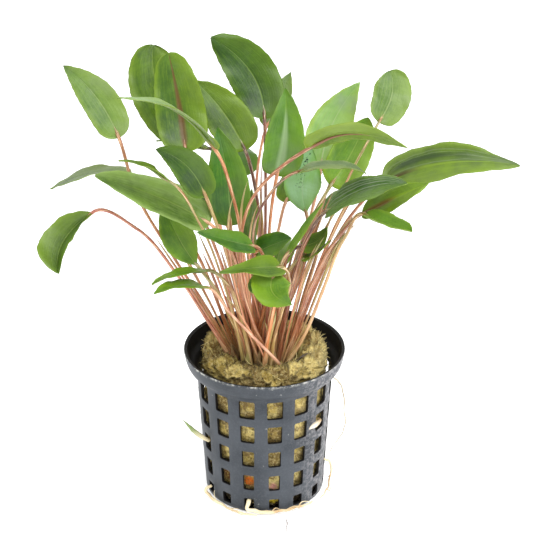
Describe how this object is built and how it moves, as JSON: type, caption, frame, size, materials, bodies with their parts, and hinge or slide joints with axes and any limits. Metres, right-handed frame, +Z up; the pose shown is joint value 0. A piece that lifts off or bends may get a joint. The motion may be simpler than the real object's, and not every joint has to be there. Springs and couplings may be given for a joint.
{
  "type": "potted cryptocoryne",
  "caption": "Potted cryptocoryne: long-stalked heart-based leaves in a rosette, rooted in mineral wool in a slate-grey net pot with windowed walls.",
  "frame": {"origin": "middle of the underside of the net pot, on the surface it stands on", "axes": "+Z is up along the pot's axis, the side of the plant shown in the picture faces -Y and +X is to its right"},
  "size_m": [0.1559, 0.0886, 0.1564],
  "materials": {
    "pot_plastic": "matte",
    "mineral_wool": "fibrous",
    "crown": "rough",
    "leaf_mid": "satin",
    "leaf_dark": "satin",
    "leaf_bright": "satin",
    "leaf_pale": "satin",
    "leaf_grey": "satin",
    "root": "satin",
    "sprout": "satin",
    "bud": "satin",
    "straw": "rough"
  },
  "bodies": {
    "root": {"net_pot": "pot_plastic", "mineral_wool": "mineral_wool", "crown": "crown", "leaf_01": "leaf_pale", "leaf_02": "leaf_mid", "leaf_03": "leaf_mid", "leaf_04": "leaf_pale", "leaf_05": "leaf_mid", "leaf_06": "leaf_dark", "leaf_07": "leaf_dark", "leaf_08": "leaf_mid", "leaf_09": "leaf_pale", "leaf_10": "leaf_dark", "leaf_11": "leaf_grey", "leaf_12": "leaf_mid", "leaf_13": "leaf_mid", "leaf_14": "leaf_mid", "leaf_15": "leaf_mid", "leaf_16": "leaf_dark", "leaf_17": "leaf_dark", "leaf_18": "leaf_bright", "leaf_19": "leaf_mid", "leaf_20": "leaf_bright", "leaf_21": "leaf_mid", "leaf_22": "leaf_bright", "leaf_23": "leaf_dark", "leaf_24": "leaf_mid", "leaf_25": "leaf_pale", "leaf_26": "leaf_mid", "leaf_27": "leaf_grey", "leaf_28": "leaf_dark", "leaf_29": "leaf_mid", "leaf_30": "leaf_pale", "leaf_31": "leaf_mid", "leaf_32": "leaf_grey", "leaf_33": "leaf_mid", "leaf_34": "leaf_bright", "leaf_35": "leaf_mid", "leaf_36": "leaf_bright", "leaf_37": "leaf_mid", "leaf_38": "leaf_dark", "leaf_39": "leaf_mid", "leaf_40": "leaf_dark", "leaf_41": "leaf_mid", "leaf_42": "leaf_pale", "root_front": "root", "root_left": "root", "root_right": "root", "root_loop": "root", "root_thread": "root", "sprout": "sprout", "bud": "bud", "straw": "straw"}
  },
  "joints": []
}
